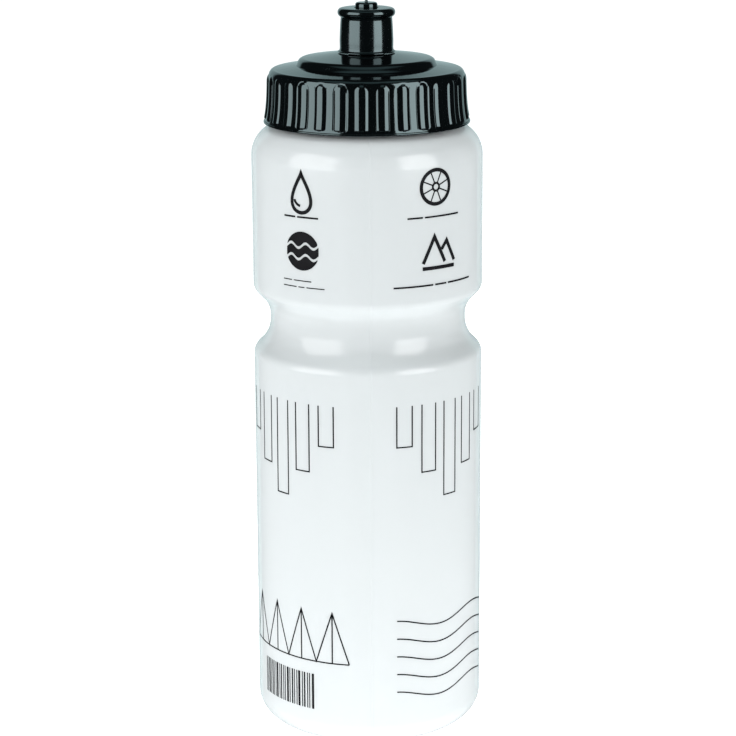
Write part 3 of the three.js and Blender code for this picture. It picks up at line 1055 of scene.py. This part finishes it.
def seal_foam():
    """Closed-cell foam: pale, matte and pitted."""
    material, shader = new_material("seal_foam")
    links = material.node_tree.links
    cells = noise(material, *FOAM_CELLS)
    links.new(mixed_colour(material, cells, FOAM_LOW, FOAM_HIGH), shader.inputs["Base Color"])
    links.new(remap(material, cells, *FOAM_ROUGHNESS), shader.inputs["Roughness"])
    links.new(bump(material, cells, *FOAM_BUMP), shader.inputs["Normal"])
    return material


def print_ink():
    """Screen ink: black, matte, with a fine uneven grain and slightly patchy cover."""
    material, shader = new_material("print_ink")
    links = material.node_tree.links
    grain = noise(material, *INK_GRAIN)
    cover = mixed_colour(material, noise(material, *INK_COVER), INK_LOW, INK_HIGH)
    links.new(cover, shader.inputs["Base Color"])
    links.new(remap(material, grain, *INK_ROUGHNESS), shader.inputs["Roughness"])
    shader.inputs["Specular IOR Level"].default_value = INK_SPECULAR
    links.new(bump(material, grain, *INK_BUMP), shader.inputs["Normal"])
    return material


# ---------------------------------------------------------------- stage

def add_camera():
    """The camera, placed as it was solved from the photograph."""
    data = bpy.data.cameras.new("camera")
    data.lens = CAMERA_LENS
    data.sensor_width = SENSOR
    data.clip_start = 0.01
    data.clip_end = 100
    camera = bpy.data.objects.new("camera", data)
    bpy.context.scene.collection.objects.link(camera)
    camera.location = CAMERA_PLACE
    camera.rotation_mode = "XYZ"
    tilt = Matrix.Rotation(math.radians(CAMERA_TILT), 4, "X")
    roll = Matrix.Rotation(math.radians(CAMERA_ROLL), 4, "Z")
    camera.rotation_euler = (tilt @ roll).to_euler()
    bpy.context.scene.camera = camera


def add_panel(name, azimuth, distance, z, size, radiance, tip=0):
    """A soft rectangular light of an even radiance, hidden from the camera. tip turns it downwards."""
    data = bpy.data.lights.new(name, "AREA")
    data.shape = "RECTANGLE"
    data.size, data.size_y = size
    data.energy = radiance * math.pi * size[0] * size[1]
    panel = bpy.data.objects.new(name, data)
    bpy.context.scene.collection.objects.link(panel)
    turn = math.radians(azimuth)
    panel.location = (math.sin(turn) * distance, -math.cos(turn) * distance, z)
    panel.rotation_euler = (math.radians(90 - tip), 0, turn)
    panel.visible_camera = False
    return panel


def add_lights():
    """Two softboxes, each with a copy hidden from reflections, and three fills hidden from them too."""
    for side, azimuth, width, radiance in SOFTBOXES:
        softbox = (azimuth, SOFTBOX_DISTANCE, SOFTBOX_Z, (width, SOFTBOX_HEIGHT), radiance)
        add_panel(side + "_softbox", *softbox)
        add_panel(side + "_matte_softbox", *softbox).visible_glossy = False
    for name, azimuth in FILLS:
        add_panel(name, azimuth, FILL_DISTANCE, FILL_Z, FILL_SIZE, FILL_RADIANCE).visible_glossy = False
    add_panel("top_fill", 0, TOP_DISTANCE, TOP_Z, TOP_SIZE, TOP_RADIANCE, 90).visible_glossy = False


def scaled(nodes, links, value, factor):
    """A value times a number."""
    node = nodes.new("ShaderNodeMath")
    node.operation = "MULTIPLY"
    node.inputs[1].default_value = factor
    links.new(value, node.inputs[0])
    return node.outputs["Value"]


def combined(nodes, links, operation, first, second):
    """Two values put together by a math operation."""
    node = nodes.new("ShaderNodeMath")
    node.operation = operation
    links.new(first, node.inputs[0])
    links.new(second, node.inputs[1])
    return node.outputs["Value"]


def eased(nodes, links, value, start, stop, low, high):
    """A value that goes smoothly from low to high between start and stop."""
    node = nodes.new("ShaderNodeMapRange")
    node.interpolation_type = "SMOOTHSTEP"
    for name, number in (("From Min", start), ("From Max", stop), ("To Min", low), ("To Max", high)):
        node.inputs[name].default_value = number
    links.new(value, node.inputs["Value"])
    return node.outputs["Result"]


def add_floor():
    """A wide floor, white to the camera, that casts light upwards round the object and less far out."""
    far = FLOOR_REACH
    corners = [(-far, -far, 0), (far, -far, 0), (far, far, 0), (-far, far, 0)]
    mesh = bpy.data.meshes.new("floor")
    mesh.from_pydata(corners, [], [(0, 1, 2, 3)])
    material, shader = new_material("floor")
    shader.inputs["Base Color"].default_value = (*FLOOR_COLOUR, 1)
    shader.inputs["Roughness"].default_value = FLOOR_ROUGHNESS
    shader.inputs["Emission Color"].default_value = (1, 1, 1, 1)
    nodes = material.node_tree.nodes
    links = material.node_tree.links
    path = nodes.new("ShaderNodeLightPath")
    seen = scaled(nodes, links, path.outputs["Is Camera Ray"], FLOOR_GLOW)
    place = nodes.new("ShaderNodeTexCoord")
    distance = nodes.new("ShaderNodeVectorMath")
    distance.operation = "LENGTH"
    links.new(place.outputs["Object"], distance.inputs[0])
    pool = eased(nodes, links, distance.outputs["Value"], *FLOOR_POOL, *FLOOR_CAST)
    cast = combined(nodes, links, "MULTIPLY", path.outputs["Is Diffuse Ray"], pool)
    glow = nodes.new("ShaderNodeMath")
    links.new(seen, glow.inputs[0])
    links.new(cast, glow.inputs[1])
    links.new(glow.outputs["Value"], shader.inputs["Emission Strength"])
    mesh.materials.append(material)
    floor = bpy.data.objects.new("floor", mesh)
    bpy.context.scene.collection.objects.link(floor)
    floor.visible_glossy = False


def add_world():
    """White to the camera. For everything else dark, with a lit back wall and a soft light overhead."""
    world = bpy.data.worlds.new("studio")
    bpy.context.scene.world = world
    world.use_nodes = True
    nodes = world.node_tree.nodes
    links = world.node_tree.links
    nodes.clear()
    output = nodes.new("ShaderNodeOutputWorld")
    switch = nodes.new("ShaderNodeMixShader")
    seen = nodes.new("ShaderNodeBackground")
    seen.inputs["Color"].default_value = (1, 1, 1, 1)
    light = nodes.new("ShaderNodeBackground")
    light.inputs["Color"].default_value = (*WORLD_TINT, 1)
    path = nodes.new("ShaderNodeLightPath")
    place = nodes.new("ShaderNodeTexCoord")
    parts = nodes.new("ShaderNodeSeparateXYZ")
    links.new(place.outputs["Generated"], parts.inputs["Vector"])
    behind = eased(nodes, links, parts.outputs["Y"], *BACK_WALL_SIDES, 0, BACK_WALL)
    below = eased(nodes, links, parts.outputs["Z"], *BACK_WALL_TOP, 1, 0)
    wall = combined(nodes, links, "MULTIPLY", behind, below)
    rising = eased(nodes, links, parts.outputs["Z"], *OVERHEAD_FOOT, 0, OVERHEAD)
    ending = eased(nodes, links, parts.outputs["Z"], *OVERHEAD_HEAD, 1, 0)
    front = eased(nodes, links, parts.outputs["Y"], *OVERHEAD_FRONT, 1, 0)
    overhead = combined(nodes, links, "MULTIPLY", combined(nodes, links, "MULTIPLY", rising, ending), front)
    both = combined(nodes, links, "ADD", wall, overhead)
    rest = nodes.new("ShaderNodeMath")
    rest.inputs[1].default_value = WORLD_REST
    links.new(both, rest.inputs[0])
    links.new(rest.outputs["Value"], light.inputs["Strength"])
    links.new(path.outputs["Is Camera Ray"], switch.inputs["Fac"])
    links.new(light.outputs["Background"], switch.inputs[1])
    links.new(seen.outputs["Background"], switch.inputs[2])
    links.new(switch.outputs["Shader"], output.inputs["Surface"])


bpy.context.scene.view_settings.view_transform = "Standard"
add_camera()
add_floor()
add_world()
add_lights()

bottle_visual(milky_plastic())
cap_visual(black_plastic("black_polypropylene", CAP_ROUGHNESS))
nozzle_visual(black_plastic("black_nozzle_polyethylene", NOZZLE_ROUGHNESS))
print_visuals(print_ink())
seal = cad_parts["cap_seal"]
seal.data.materials.clear()
seal.data.materials.append(seal_foam())
